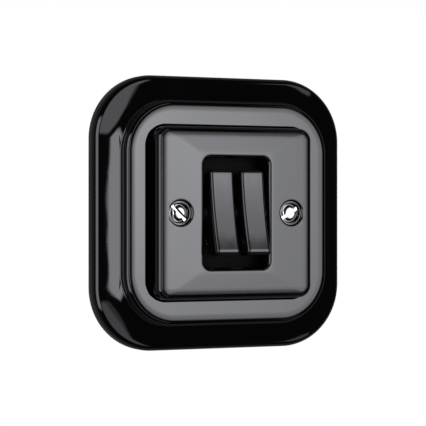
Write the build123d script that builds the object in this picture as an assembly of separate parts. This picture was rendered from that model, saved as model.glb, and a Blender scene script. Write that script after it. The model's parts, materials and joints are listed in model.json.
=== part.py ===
from build123d import *

import os
from math import cos, hypot, radians, sin, sqrt

# A ceramic switch for a window blind: two rockers side by side in a square
# glazed cover, inside a stepped square frame, on a mechanism for a wall box.
# Pieces are drawn with the wall as the XY plane, X across, Y up and Z out of
# the wall, and are stood upright when they are written. Sizes are in mm.

# Sizes of the surround frame
frame_size = 90.0
frame_corner = 21.0
rim_width = 8.4
rim_outer_height = 4.3
rim_inner_height = 7.5
rim_edge_radius = 2.8
rim_crown = 0.1
border_height = 11.6
border_corner = 17.0
border_crown_width = 3.8
border_crown_radius = 8.0
border_edge_radius = 2.0
border_foot_radius = 0.8
opening_corner = 7.0
opening_edge_radius = 0.3
ledge_height = 8.0
ledge_width = 3.5
ledge_corner = 2.0
recess_depth = 3.5
recess_clearance = 2.5

# Sizes of the cover plate
cover_size = 56.6
cover_gap = 0.3
cover_side_gap = 1.5
cover_height = 17.3
cover_corner = 4.5
cover_draft_angle = 3.0
cover_edge_radius = 3.0
cover_wall = 3.8
cover_front = 4.0
cover_inner_corner = 2.0
window_corner = 2.2
window_lip_radius = 1.5
window_side_clearance = 0.25
window_end_clearance = 1.8
screw_inset = 8.3
screw_well_diameter = 7.2
screw_well_depth = 2.4
screw_well_lip_radius = 1.2
lip_spacing = 0.1
boss_diameter = 8.6
boss_clearance = 0.3
boss_rib_width = 4.4

# Sizes of the cover screws and their posts
screw_diameter = 3.0
screw_tip_height = 0.5
screw_head_diameter = 6.6
screw_head_rim = 0.7
screw_head_dome = 1.0
screw_slot_width = 1.1
screw_slot_depth = 1.2
screw_slot_turns = (-46.0, 32.0)
screw_clearance = 0.2
thread_clearance = 0.05
post_diameter = 6.0
post_height = 6.4
post_shank_diameter = 4.0

# Sizes of the rockers and their axle
rocker_width = 8.4
rocker_gap = 2.6
rocker_upper_arm = 13.4
rocker_lower_arm = 14.7
rocker_face_radius = 100.0
rocker_face_depth = 5.3
rocker_end_height = 6.0
rocker_end_draft = 0.3
rocker_tilt = 11.0
rocker_edge_radius = 1.2
rocker_front_wall = 2.0
rocker_side_wall = 1.4
hub_width = 7.2
hub_drop = 3.4
hub_clearance = 1.0
nose_lever = 9.0
nose_drop = 1.0
nose_radius = 1.5
axle_diameter = 2.0
axle_fit = 0.03
axle_clearance = 0.05

# Sizes of the bridge that carries the rockers
bridge_width = 27.6
bridge_height = 43.0
bridge_corner = 3.0
bridge_front = 9.0
bridge_plate = 2.5
bridge_wall = 1.6
bridge_edge_radius = 0.8
cheek_clearance = 0.35
cheek_thickness = 1.2
cheek_width = 9.0
cheek_cap_radius = 2.2
ear_width = 6.0
ear_thickness = 2.0

# Sizes of the strap
strap_inset = 9.5
strap_corner = 14.0
strap_thickness = 1.5
strap_window_margin = 1.1
strap_window_corner = 2.0
box_screw_spacing = 60.0
box_slot_length = 7.0
box_slot_width = 3.6

# Sizes of the base behind the strap, and of the screws that clamp it
base_size = 44.0
base_depth = 24.0
base_chamfer = 6.0
base_edge_radius = 0.8
base_screw_across = 37.5
base_screw_up = 26.0
base_screw_diameter = 2.9
base_screw_length = 11.0
base_screw_head_diameter = 5.2
base_screw_head_rim = 1.2
base_screw_head_dome = 0.6
blind_hole_clearance = 0.8

# Sizes of the pushers, contacts and springs
pusher_diameter = 4.2
pusher_clearance = 0.08
pusher_gap = 0.12
pusher_bevel = 0.4
shoulder_diameter = 7.0
shoulder_height = 1.3
shoulder_gap = 0.2
spigot_diameter = 2.4
spigot_length = 2.6
spigot_clearance = 0.05
contact_bar_length = 15.0
contact_bar_width = 4.6
contact_bar_thickness = 0.8
contact_bar_corner = 1.2
contact_spacing = 11.0
contact_diameter = 3.0
contact_height = 0.8
contact_bevel = 0.4
contact_closing_gap = 0.15
spring_wire = 0.5
spring_diameter = 3.4
spring_turns = 3.5
spring_gap = 0.05
spring_pocket_depth = 4.0
spring_pocket_clearance = 0.35

# Sizes of the brass strips and the terminals
strip_thickness = 0.9
strip_width = 5.0
strip_clearance = 0.1
strip_margin = 0.7
terminal_wall = 16.0
terminal_tail = 20.0
terminal_screw_level = 16.0
terminal_screw_diameter = 2.9
terminal_screw_length = 6.5
terminal_head_diameter = 6.0
terminal_head_rim = 1.2
terminal_head_dome = 0.6
notch_width = 9.0
notch_top = 9.5
clamp_plate_size = 7.0
clamp_plate_corner = 1.0
clamp_plate_thickness = 1.0

# Places on the frame and the cover
frame_half = frame_size / 2
border_half = frame_half - rim_width
corner_centre = frame_half - frame_corner
opening_width = cover_size + 2 * cover_side_gap
opening_height = cover_size + 2 * cover_gap

# Rounds of the border, limited by its wall beside the opening and at the corners
border_wall = border_half - opening_width / 2
crown_width = min(border_crown_width, border_wall - 2 * opening_edge_radius)
border_edge = min(border_edge_radius, 2 * crown_width / 3)
corner_gain = sqrt(2) - 1
opening_diagonal = sqrt(2) * (opening_width + opening_height) / 4 - corner_gain * opening_corner
diagonal_room = sqrt(2) * border_half - opening_diagonal - crown_width - 2 * opening_edge_radius
border_round = min(border_corner, diagonal_room / corner_gain)
border_centre = border_half - border_round

# Places of the ledge, the strap's recess and the cover
ledge_opening_width = opening_width - 2 * ledge_width
ledge_opening_height = opening_height - 2 * ledge_width
strap_size = frame_size - 2 * strap_inset
recess_size = strap_size + 2 * recess_clearance
recess_corner = strap_corner + recess_clearance
cover_hollow = cover_size - 2 * cover_wall
screw_floor = cover_height - screw_well_depth
screw_places = (screw_inset - cover_size / 2, cover_size / 2 - screw_inset)

# Places across the rockers
rocker_pitch = rocker_width + rocker_gap
rocker_places = {"up": -rocker_pitch / 2, "down": rocker_pitch / 2}
cheek_inside = rocker_pitch / 2 + rocker_width / 2 + cheek_clearance
cheek_outside = cheek_inside + cheek_thickness
divider_half = rocker_gap / 2 - cheek_clearance
window_width = 2 * (cheek_outside + window_side_clearance)
lip_room = (max(screw_places) - screw_well_diameter / 2 - window_width / 2) / 2 - lip_spacing
window_lip = min(window_lip_radius, lip_room)
screw_well_lip = min(screw_well_lip_radius, lip_room)

# Levels from the rockers down to the springs, and the places of the contacts
tilt = radians(rocker_tilt)
hub_half = hub_width / 2
axle_height = bridge_front + hub_clearance + hub_drop * cos(tilt) + hub_half * sin(tilt)
pusher_place = -nose_lever * cos(tilt)
pusher_travel = 2 * nose_lever * sin(tilt)
nose_low = axle_height - nose_drop * cos(tilt) + nose_lever * sin(tilt) - nose_radius
pusher_top = nose_low - pusher_gap
shoulder_top = bridge_front - bridge_plate - shoulder_gap
bar_top = shoulder_top - shoulder_height
bar_low = bar_top - contact_bar_thickness
fixed_contact_top = bar_low - contact_height - pusher_travel - contact_closing_gap
strip_top = fixed_contact_top - contact_height
strip_low = strip_top - strip_thickness
spring_floor = strip_low - spring_pocket_depth
near_contact = pusher_place + contact_spacing / 2
far_contact = pusher_place - contact_spacing / 2
strip_reach = contact_diameter / 2 + strip_margin

# Places on the strap and the base
strap_window_width = bridge_width - 2 * strap_window_margin
strap_window_height = bridge_height - 2 * strap_window_margin
ear_top = strap_thickness + ear_thickness
base_half = base_size / 2
base_screw_places = GridLocations(base_screw_across, base_screw_up, 2, 2)
base_screw_hole = base_screw_diameter + 2 * screw_clearance
base_screw_tip = ear_top - base_screw_length
terminal_hole = terminal_screw_diameter + 2 * thread_clearance
pad_outside = terminal_wall + strip_thickness
clamp_outside = pad_outside + clamp_plate_thickness
terminal_screw_tip = clamp_outside - terminal_screw_length
terminal_places = {"line": (0, 1), "up": (rocker_places["up"], -1), "down": (rocker_places["down"], -1)}
quarter_turns = (0, 90, 180, 270)
upright = Rot(X=90)
os.makedirs("parts", exist_ok=True)


def write(name, *solids):
    """Stands a piece upright against the wall and writes it."""
    export_step(Compound(children=[upright * solid for solid in solids]), f"parts/{name}.step")


def slab(width, height, corner, low, high):
    """Plate about the middle with round corners, from one level to another."""
    return Pos(Z=low) * extrude(RectangleRounded(width, height, corner), high - low)


def rod(diameter, x, y, low, high):
    """Round rod pointing out of the wall, from one level to another."""
    return Pos(x, y, low) * extrude(Circle(diameter / 2), high - low)


def rod_across(diameter, y, level, length):
    """Round rod along X about the middle, at a height up and a level out of the wall."""
    return Pos(-length / 2, y, level) * Rot(Y=90) * extrude(Circle(diameter / 2), length)


def carry_round(section, centre):
    """Section carried round one corner of a square frame and along one of its sides."""
    section = Pos(Y=centre) * Rot(X=90) * section
    corner = revolve(section, Axis((centre, centre, 0), (0, 0, 1)), 90)
    return corner + extrude(section, 2 * centre, dir=(0, -1, 0))


def bar(x_low, x_high, y_low, y_high, low, high):
    """Square-edged bar between two corners."""
    middle = ((x_low + x_high) / 2, (y_low + y_high) / 2, (low + high) / 2)
    return Pos(*middle) * Box(x_high - x_low, y_high - y_low, high - low)


def edges_round(solid, low, high):
    """Edges that run round a solid between two levels, without those that climb."""
    steepest = 0.1
    return [
        edge
        for edge in solid.edges().filter_by_position(Axis.Z, low, high)
        if abs(edge.tangent_at(0.5).Z) < steepest
    ]


def edges_at(solid, level, half_width, half_height):
    """Edges of a solid that lie at one level, within a rectangle about the middle."""
    within = 0.01
    return [
        edge
        for edge in solid.edges().filter_by_position(Axis.Z, level - within, level + within)
        if abs(edge.center().X) < half_width + within and abs(edge.center().Y) < half_height + within
    ]


def round_rims(solid, level, diameter, radius):
    """Rounds every round edge of one diameter at one level."""
    within = 0.01
    level_edges = solid.edges().filter_by_position(Axis.Z, level - within, level + within)
    round_edges = level_edges.filter_by(GeomType.CIRCLE)
    return fillet([edge for edge in round_edges if abs(2 * edge.radius - diameter) < within], radius)


def round_corner(section, point, radius):
    """Rounds the corner of a flat section that lies nearest to a point."""
    return fillet(section.vertices().sort_by_distance(point)[0], radius)


def face_depth(arm):
    """Height of the hollow rocker face above the axle, at a distance along the rocker."""
    return rocker_face_depth + rocker_face_radius - sqrt(rocker_face_radius**2 - arm**2)


def turned(*outline):
    """Turned piece pointing out of the wall, from its half outline of radius and level."""
    return revolve(Rot(X=90) * make_face(Polyline(*outline, close=True)), Axis.Z)


def contact_button(face, back):
    """Silver button with a bevelled face, from the level of its face to that of its back."""
    radius = contact_diameter / 2
    shoulder = face + contact_bevel * (1 if back > face else -1)
    return turned((0, face), (radius - contact_bevel, face), (radius, shoulder), (radius, back), (0, back))


def slotted_screw(head_diameter, rim, dome, seat, diameter, tip):
    """Screw pointing out of the wall: a domed, slotted head on its seat, and a plain shank."""
    head_edge = (head_diameter / 2, seat + rim)
    top = seat + rim + dome
    shank = ((0, tip), (diameter / 2, tip), (diameter / 2, seat))
    outline = make_face(
        [
            Polyline((0, top), *shank, (head_diameter / 2, seat), head_edge),
            TangentArc((0, top), head_edge, tangent=(1, 0)),
        ]
    )
    slot_half = screw_slot_width / 2
    slot = bar(-head_diameter, head_diameter, -slot_half, slot_half, top - screw_slot_depth, top)
    return revolve(Rot(X=90) * outline, Axis.Z) - slot


def bent_strip(start):
    """Brass strip from a distance along Y to the terminal wall, then back along it to a pad."""
    bend = (pad_outside, strip_top)
    outline = make_face(
        Polyline(
            (start, strip_low),
            (terminal_wall, strip_low),
            (terminal_wall, -terminal_tail),
            (pad_outside, -terminal_tail),
            bend,
            (start, strip_top),
            close=True,
        )
    )
    outline = round_corner(outline, bend, strip_thickness)
    strip = extrude(Plane.YZ * outline, strip_width / 2, both=True)
    hole = rod(terminal_hole, 0, 0, terminal_wall, pad_outside)
    return strip - Pos(Z=-terminal_screw_level) * Rot(X=-90) * hole


# Surround frame: a sloping rim and a crowned border, each with its section
# carried round four sides and four corners. The middle is filled, then opened
# for the cover and hollowed for the strap.
rim_slope = (rim_inner_height - rim_outer_height) / rim_width
corner_reach = sqrt(2) * (corner_centre - border_centre) + frame_corner - border_round
rim_reach = max(rim_width, corner_reach) + border_edge_radius
foot_low = rim_outer_height + rim_slope * min(rim_width, corner_reach)
rim_point = (frame_half, rim_outer_height)
rim_end = (frame_half - rim_reach, rim_outer_height + rim_slope * rim_reach)
rim_section = make_face(
    [
        Polyline(rim_end, (rim_end[0], 0), (frame_half, 0), rim_point),
        SagittaArc(rim_point, rim_end, -rim_crown),
    ]
)
rim_section = round_corner(rim_section, rim_point, rim_edge_radius)
crown_drop = border_crown_radius - sqrt(border_crown_radius**2 - crown_width**2)
brow_point = (border_half, border_height - crown_drop)
crown_point = (border_half - crown_width, border_height)
half_chord = hypot(crown_width, crown_drop) / 2
crown_sagitta = border_crown_radius - sqrt(border_crown_radius**2 - half_chord**2)
border_section = make_face(
    [
        Polyline(
            crown_point, (border_centre, border_height), (border_centre, 0), (border_half, 0), brow_point
        ),
        SagittaArc(brow_point, crown_point, -crown_sagitta),
    ]
)
border_section = round_corner(border_section, brow_point, border_edge)
frame = bar(-border_centre, border_centre, -border_centre, border_centre, 0, border_height)
for turn in quarter_turns:
    frame += Rot(Z=turn) * carry_round(border_section, border_centre)
for turn in quarter_turns:
    frame += Rot(Z=turn) * carry_round(rim_section, corner_centre)
frame = fillet(edges_round(frame, foot_low, rim_end[1]), border_foot_radius)
frame -= slab(opening_width, opening_height, opening_corner, ledge_height, border_height)
frame -= slab(ledge_opening_width, ledge_opening_height, ledge_corner, 0, ledge_height)
frame -= slab(recess_size, recess_size, recess_corner, 0, recess_depth)
opening_edges = edges_at(frame, border_height, opening_width / 2, opening_height / 2)
frame = fillet(opening_edges, opening_edge_radius)
write("surround_frame", frame)

# Cover plate: a drafted square cap, hollow behind, with two screw wells, each
# on a boss behind the front, and a rounded window for the rockers.
rocker_reach = hypot(rocker_lower_arm, face_depth(rocker_lower_arm))
window_height = 2 * (rocker_reach + window_end_clearance)
cover_outline = RectangleRounded(cover_size, cover_size, cover_corner)
cover = extrude(cover_outline, cover_height - ledge_height, taper=cover_draft_angle)
cover = Pos(Z=ledge_height) * cover
cover = fillet(edges_at(cover, cover_height, cover_size / 2, cover_size / 2), cover_edge_radius)
cover -= slab(cover_hollow, cover_hollow, cover_inner_corner, ledge_height, cover_height - cover_front)
boss_low = bridge_front + boss_clearance
for place in screw_places:
    inner, outer = sorted((place, (cover_size - cover_wall) / 2 * place / abs(place)))
    cover += rod(boss_diameter, place, 0, boss_low, screw_floor)
    cover += bar(inner, outer, -boss_rib_width / 2, boss_rib_width / 2, boss_low, screw_floor)
for place in screw_places:
    cover -= rod(screw_well_diameter, place, 0, screw_floor, cover_height)
    cover -= rod(screw_diameter + 2 * screw_clearance, place, 0, boss_low, screw_floor)
cover = round_rims(cover, cover_height, screw_well_diameter, screw_well_lip)
cover -= slab(window_width, window_height, window_corner, ledge_height, cover_height)
cover = fillet(edges_at(cover, cover_height, window_width / 2, window_height / 2), window_lip)
write("cover_plate", cover)

# Cover screws, and the threaded posts on the strap that they go into.
screw = slotted_screw(
    screw_head_diameter, screw_head_rim, screw_head_dome, screw_floor, screw_diameter, screw_tip_height
)
post_top = strap_thickness + post_height
post = rod(post_diameter, 0, 0, strap_thickness, post_top)
post += rod(post_shank_diameter, 0, 0, 0, strap_thickness)
post -= rod(screw_diameter + 2 * thread_clearance, 0, 0, 0, post_top)
write(
    "cover_screws",
    *[Pos(X=place) * Rot(Z=turn) * screw for place, turn in zip(screw_places, screw_slot_turns)],
)
write("cover_posts", *[Pos(X=place) * post for place in screw_places])

# Rockers: boat-shaped mouldings with a hollow face, open behind on both sides
# of the hub, and a rounded nose inside the lower arm that works the pusher.
upper_tip = (rocker_upper_arm, face_depth(rocker_upper_arm))
lower_tip = (-rocker_lower_arm, face_depth(rocker_lower_arm))
upper_heel = (upper_tip[0] - rocker_end_draft, upper_tip[1] - rocker_end_height)
lower_heel = (lower_tip[0] + rocker_end_draft, lower_tip[1] - rocker_end_height)
upper_hub = (hub_half, -hub_drop)
lower_hub = (-hub_half, -hub_drop)
rocker_section = make_face(
    [
        ThreePointArc(lower_tip, (0, rocker_face_depth), upper_tip),
        Polyline(upper_tip, upper_heel, upper_hub, lower_hub, lower_heel, lower_tip),
    ]
)
rocker = extrude(Plane.YZ * rocker_section, rocker_width / 2, both=True)
end_half = rocker_end_draft / 2
front_edges = rocker.edges().filter_by(GeomType.CIRCLE)
front_edges += rocker.edges().filter_by_position(
    Axis.Y, upper_heel[0] + end_half / 2, upper_tip[0] + end_half
)
front_edges += rocker.edges().filter_by_position(
    Axis.Y, lower_tip[0] - end_half, lower_heel[0] - end_half / 2
)
rocker = fillet(front_edges, rocker_edge_radius)
pocket_half = rocker_width / 2 - rocker_side_wall
pocket_top = rocker_face_depth - rocker_front_wall
for pocket_low, pocket_high in (
    (hub_half, upper_heel[0] - rocker_side_wall),
    (lower_heel[0] + rocker_side_wall, -hub_half),
):
    rocker -= bar(-pocket_half, pocket_half, pocket_low, pocket_high, -hub_drop, pocket_top)
rib_low = -nose_lever - nose_radius
rib_high = -nose_lever + nose_radius
rocker += bar(-pocket_half, pocket_half, rib_low, rib_high, -nose_drop, pocket_top)
rocker += rod_across(2 * nose_radius, -nose_lever, -nose_drop, 2 * pocket_half)
rocker -= rod_across(axle_diameter + 2 * axle_clearance, 0, 0, rocker_width)
for name, place in rocker_places.items():
    write(f"{name}_rocker", Pos(place, 0, axle_height) * Rot(X=-rocker_tilt) * rocker)
write("rocker_axle", rod_across(axle_diameter, 0, axle_height, 2 * cheek_outside))

# Bridge: a moulded cap on the strap, with three cheeks that hold the axle,
# a guide for each pusher and four ears for the clamping screws.
bridge = slab(bridge_width, bridge_height, bridge_corner, strap_thickness, bridge_front)
bridge = fillet(
    edges_at(bridge, bridge_front, bridge_width / 2, bridge_height / 2), bridge_edge_radius
)
bridge -= slab(
    bridge_width - 2 * bridge_wall,
    bridge_height - 2 * bridge_wall,
    bridge_corner - bridge_wall,
    strap_thickness,
    bridge_front - bridge_plate,
)
cheek_foot = Line((-cheek_width / 2, bridge_front), (cheek_width / 2, bridge_front))
cheek_cap = Pos(0, axle_height) * Circle(cheek_cap_radius)
cheek_section = make_hull(cheek_cap.edges() + cheek_foot.edges())
for cheek_low, cheek_high in (
    (-cheek_outside, -cheek_inside),
    (-divider_half, divider_half),
    (cheek_inside, cheek_outside),
):
    bridge += Pos(X=cheek_low) * extrude(Plane.YZ * cheek_section, cheek_high - cheek_low)
bridge -= rod_across(axle_diameter + 2 * axle_fit, 0, axle_height, 2 * cheek_outside)
guide_diameter = pusher_diameter + 2 * pusher_clearance
for place in rocker_places.values():
    bridge -= rod(guide_diameter, place, pusher_place, bridge_front - bridge_plate, bridge_front)
ear_root = (bridge_width - bridge_wall) / 2
for spot in base_screw_places:
    x, y = spot.position.X, spot.position.Y
    inner, outer = sorted((x, ear_root * x / abs(x)))
    bridge += rod(ear_width, x, y, strap_thickness, ear_top)
    bridge += bar(inner, outer, y - ear_width / 2, y + ear_width / 2, strap_thickness, ear_top)
    bridge -= rod(base_screw_hole, x, y, strap_thickness, ear_top)
write("switch_bridge", bridge)

# Strap: a flat steel plate with slots for the screws of the wall box.
strap = slab(strap_size, strap_size, strap_corner, 0, strap_thickness)
strap -= slab(strap_window_width, strap_window_height, strap_window_corner, 0, strap_thickness)
box_slot = extrude(SlotOverall(box_slot_length, box_slot_width), strap_thickness)
for turn in quarter_turns:
    strap -= Rot(Z=turn) * Pos(X=box_screw_spacing / 2) * box_slot
for place in screw_places:
    strap -= rod(post_shank_diameter, place, 0, 0, strap_thickness)
for spot in base_screw_places:
    strap -= spot * rod(base_screw_hole, 0, 0, 0, strap_thickness)
write("mounting_strap", strap)

# Base: a moulded block behind the strap. Its front well carries the brass
# strips, and notches at its edges open to the back and side for the wires.
base = bar(-base_half, base_half, -base_half, base_half, -base_depth, 0)
base = chamfer(base.edges().filter_by(Axis.Z), base_chamfer)
base = fillet(edges_at(base, -base_depth, base_half, base_half), base_edge_radius)
base -= slab(strap_window_width, strap_window_height, strap_window_corner, strip_low, 0)
strip_slot_half = strip_width / 2 + strip_clearance
notch_half = notch_width / 2
for place, side in terminal_places.values():
    inner, outer = sorted((side * terminal_wall, side * (pad_outside + strip_clearance)))
    base -= bar(place - strip_slot_half, place + strip_slot_half, inner, outer, -notch_top, strip_low)
    inner, outer = sorted((side * terminal_wall, side * base_half))
    base -= bar(place - notch_half, place + notch_half, inner, outer, -base_depth, -notch_top)
    hole = rod(terminal_hole, 0, 0, terminal_screw_tip - blind_hole_clearance, terminal_wall)
    base -= Pos(place, 0, -terminal_screw_level) * Rot(X=-90 * side) * hole
spring_pocket_diameter = spring_diameter + spring_wire + 2 * spring_pocket_clearance
for place in rocker_places.values():
    base -= rod(spring_pocket_diameter, place, pusher_place, spring_floor, strip_low)
pilot_hole = base_screw_diameter + 2 * thread_clearance
for spot in base_screw_places:
    base -= spot * rod(pilot_hole, 0, 0, base_screw_tip - blind_hole_clearance, 0)
write("switch_base", base)

# Base screws: they clamp bridge, strap and base together.
base_screw = slotted_screw(
    base_screw_head_diameter,
    base_screw_head_rim,
    base_screw_head_dome,
    ear_top,
    base_screw_diameter,
    base_screw_tip,
)
write("base_screws", *[spot * base_screw for spot in base_screw_places])

# Pushers with their contact bars and silver buttons, and the return springs.
pusher = turned(
    (0, bar_top - spigot_length),
    (spigot_diameter / 2, bar_top - spigot_length),
    (spigot_diameter / 2, bar_top),
    (shoulder_diameter / 2, bar_top),
    (shoulder_diameter / 2, shoulder_top),
    (pusher_diameter / 2, shoulder_top),
    (pusher_diameter / 2, pusher_top - pusher_bevel),
    (pusher_diameter / 2 - pusher_bevel, pusher_top),
    (0, pusher_top),
)
contact_bar = slab(contact_bar_width, contact_bar_length, contact_bar_corner, bar_low, bar_top)
contact_bar -= rod(spigot_diameter + 2 * spigot_clearance, 0, 0, bar_low, bar_top)
button = contact_button(bar_low - contact_height, bar_low)
button_spots = (Pos(Y=-contact_spacing / 2), Pos(Y=contact_spacing / 2))
spring_low = spring_floor + spring_gap + spring_wire / 2
spring_rise = bar_low - spring_gap - spring_wire / 2 - spring_low
spring_path = Helix(spring_rise / spring_turns, spring_rise, spring_diameter / 2)
wire_section = Plane(spring_path @ 0, z_dir=spring_path % 0) * Circle(spring_wire / 2)
spring = Pos(Z=spring_low) * sweep(wire_section, spring_path, is_frenet=True)
for name, place in rocker_places.items():
    spot = Pos(place, pusher_place)
    write(f"{name}_pusher", spot * pusher)
    write(f"{name}_contact_bar", spot * contact_bar)
    write(f"{name}_bar_contacts", *[spot * button_spot * button for button_spot in button_spots])
    write(f"{name}_return_spring", spot * spring)

# Brass strips in the well of the base, with the fixed silver buttons. The
# line bar feeds both circuits, so it has a cross arm under both near contacts.
arm_half = rocker_pitch / 2 + strip_width / 2
arm_low = near_contact - strip_reach
line_bar = bent_strip(arm_low)
line_bar += bar(-arm_half, arm_half, arm_low, near_contact + strip_reach, strip_low, strip_top)
write("line_bar", line_bar)
motor_strip = Rot(Z=180) * bent_strip(-far_contact - strip_reach)
fixed_button = contact_button(fixed_contact_top, strip_top)
fixed_buttons = []
for name, place in rocker_places.items():
    write(f"{name}_terminal", Pos(X=place) * motor_strip)
    fixed_buttons += [Pos(place, y) * fixed_button for y in (near_contact, far_contact)]
write("fixed_contacts", *fixed_buttons)

# Terminal screws, and the clamp plates under their heads that hold the wires.
terminal_screw = slotted_screw(
    terminal_head_diameter,
    terminal_head_rim,
    terminal_head_dome,
    clamp_outside,
    terminal_screw_diameter,
    terminal_screw_tip,
)
clamp_plate = slab(clamp_plate_size, clamp_plate_size, clamp_plate_corner, pad_outside, clamp_outside)
clamp_plate -= rod(terminal_screw_diameter + 2 * screw_clearance, 0, 0, pad_outside, clamp_outside)
spots = [
    Pos(place, 0, -terminal_screw_level) * Rot(X=-90 * side) for place, side in terminal_places.values()
]
write("terminal_screws", *[spot * terminal_screw for spot in spots])
write("clamp_plates", *[spot * clamp_plate for spot in spots])
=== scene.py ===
import json
from math import acos, asin, cos, exp, hypot, pi, radians, sin, sqrt, tan

import bmesh
import bpy
from mathutils import Matrix, Vector


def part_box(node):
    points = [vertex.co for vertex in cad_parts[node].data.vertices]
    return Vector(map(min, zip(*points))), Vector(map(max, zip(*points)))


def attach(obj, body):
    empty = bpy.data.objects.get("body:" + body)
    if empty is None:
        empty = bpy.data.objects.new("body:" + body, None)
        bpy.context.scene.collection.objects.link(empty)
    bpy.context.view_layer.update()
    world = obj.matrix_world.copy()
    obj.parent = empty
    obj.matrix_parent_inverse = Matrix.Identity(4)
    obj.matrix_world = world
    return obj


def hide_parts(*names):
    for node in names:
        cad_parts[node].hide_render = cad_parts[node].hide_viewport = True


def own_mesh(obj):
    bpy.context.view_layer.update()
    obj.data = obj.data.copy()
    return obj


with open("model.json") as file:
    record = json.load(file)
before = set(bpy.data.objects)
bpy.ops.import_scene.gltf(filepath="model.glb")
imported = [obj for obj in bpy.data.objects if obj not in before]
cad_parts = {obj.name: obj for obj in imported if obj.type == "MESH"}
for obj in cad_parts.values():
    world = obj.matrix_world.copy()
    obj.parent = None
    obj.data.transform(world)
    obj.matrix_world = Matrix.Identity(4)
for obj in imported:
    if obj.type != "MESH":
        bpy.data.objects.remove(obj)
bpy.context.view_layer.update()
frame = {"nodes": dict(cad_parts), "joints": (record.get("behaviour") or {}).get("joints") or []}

# Mounting strap and clamp plates: steel sheet, pressed to shape and then zinc
# plated. The strap is screwed across the wall box and carries all the rest,
# and each clamp plate is pressed on a wire by its terminal screw.
MM = 0.001


def linear(colour):
    """Linear colour, with alpha, from an sRGB hex value."""
    parts = [int(colour[start : start + 2], 16) / 255 for start in (1, 3, 5)]
    levels = [part / 12.92 if part <= 0.04045 else ((part + 0.055) / 1.055) ** 2.4 for part in parts]
    return levels + [1.0]


def per(millimetres):
    """Scale of a pattern whose features have a real size in millimetres."""
    return 1 / (millimetres * MM)


def add(tree, kind, inputs=None, **settings):
    """Adds a node to a tree, with its settings, and sets or links its inputs."""
    node = tree.nodes.new(kind)
    for name, value in settings.items():
        setattr(node, name, value)
    for name, value in (inputs or {}).items():
        if isinstance(value, bpy.types.NodeSocket):
            tree.links.new(value, node.inputs[name])
        else:
            node.inputs[name].default_value = value
    return node


def start_material(name):
    """New material with an empty tree, and the object coordinates for its patterns."""
    material = bpy.data.materials.new(name)
    material.use_nodes = True
    material.node_tree.nodes.clear()
    place = add(material.node_tree, "ShaderNodeTexCoord").outputs["Object"]
    return material, material.node_tree, place


def end_material(tree, **inputs):
    """Closes a material's tree with its surface, from inputs named with underscores."""
    named = {name.replace("_", " "): value for name, value in inputs.items()}
    surface = add(tree, "ShaderNodeBsdfPrincipled", named)
    add(tree, "ShaderNodeOutputMaterial", {"Surface": surface.outputs[0]})


def dress(material, *names):
    """Gives CAD nodes their finish."""
    for name in names:
        mesh = frame["nodes"][name].data
        mesh.materials.clear()
        mesh.materials.append(material)


# Zinc plate: a satin blue-grey metal, cloudy in patches of some millimetres. The
# grain of the rolled sheet under it is drawn coarser than it is, so that it shows.
zinc_plate, tree, place = start_material("zinc_plated_steel")
rolled = add(tree, "ShaderNodeMapping", {"Vector": place, "Scale": (1.0, 1.0, 0.05)})
grain = add(tree, "ShaderNodeTexNoise", {"Vector": rolled.outputs[0], "Scale": per(0.6), "Detail": 3.0})
cloud = add(tree, "ShaderNodeTexNoise", {"Vector": place, "Scale": per(7.0), "Detail": 3.0})
tone = add(
    tree,
    "ShaderNodeMix",
    {0: cloud.outputs["Fac"], 6: linear("#A3A9B0"), 7: linear("#D2D6D8")},
    data_type="RGBA",
)
sheen = add(tree, "ShaderNodeMapRange", {"Value": cloud.outputs["Fac"], "To Min": 0.44, "To Max": 0.26})
relief = add(
    tree, "ShaderNodeBump", {"Height": grain.outputs["Fac"], "Strength": 0.3, "Distance": 0.01 * MM}
)
end_material(
    tree,
    Base_Color=tone.outputs[2],
    Metallic=1.0,
    Roughness=sheen.outputs[0],
    Normal=relief.outputs[0],
)
dress(zinc_plate, "mounting_strap", "clamp_plates")

# Base: the grey block behind the strap, moulded from thermoset, with a well for
# the contacts in front and three notches for the wires behind. Its satin skin is
# finely specked by the filler and duller where the melt flowed last.
grey_moulding, tree, place = start_material("grey_thermoset_moulding")
speck = add(tree, "ShaderNodeTexNoise", {"Vector": place, "Scale": per(0.5), "Detail": 4.0})
flow = add(tree, "ShaderNodeTexNoise", {"Vector": place, "Scale": per(11.0), "Detail": 2.0})
filler = add(
    tree,
    "ShaderNodeMix",
    {0: speck.outputs["Fac"], 6: linear("#A9A9A4"), 7: linear("#C6C6C1")},
    data_type="RGBA",
)
skin = add(tree, "ShaderNodeMapRange", {"Value": flow.outputs["Fac"], "To Min": 0.36, "To Max": 0.58})
relief = add(
    tree, "ShaderNodeBump", {"Height": speck.outputs["Fac"], "Strength": 0.25, "Distance": 0.03 * MM}
)
end_material(
    tree,
    Base_Color=filler.outputs[2],
    Roughness=skin.outputs[0],
    IOR=1.55,
    Normal=relief.outputs[0],
)
dress(grey_moulding, "switch_base")

# Brass strips, contact bars and cover posts: strip that was stamped and bent,
# and posts that were turned from rod and riveted into the strap. The brass is
# clouded by tarnish and has fine lines along it, drawn coarse enough to show.
brass, tree, place = start_material("plain_brass")
tarnish = add(tree, "ShaderNodeTexNoise", {"Vector": place, "Scale": per(4.0), "Detail": 4.0})
drawn = add(tree, "ShaderNodeMapping", {"Vector": place, "Scale": (1.0, 0.06, 1.0)})
lines = add(tree, "ShaderNodeTexNoise", {"Vector": drawn.outputs[0], "Scale": per(0.3), "Detail": 2.0})
tone = add(
    tree,
    "ShaderNodeMix",
    {0: tarnish.outputs["Fac"], 6: linear("#B8914A"), 7: linear("#E4C27C")},
    data_type="RGBA",
)
sheen = add(tree, "ShaderNodeMapRange", {"Value": tarnish.outputs["Fac"], "To Min": 0.38, "To Max": 0.2})
relief = add(
    tree, "ShaderNodeBump", {"Height": lines.outputs["Fac"], "Strength": 0.25, "Distance": 0.01 * MM}
)
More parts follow.
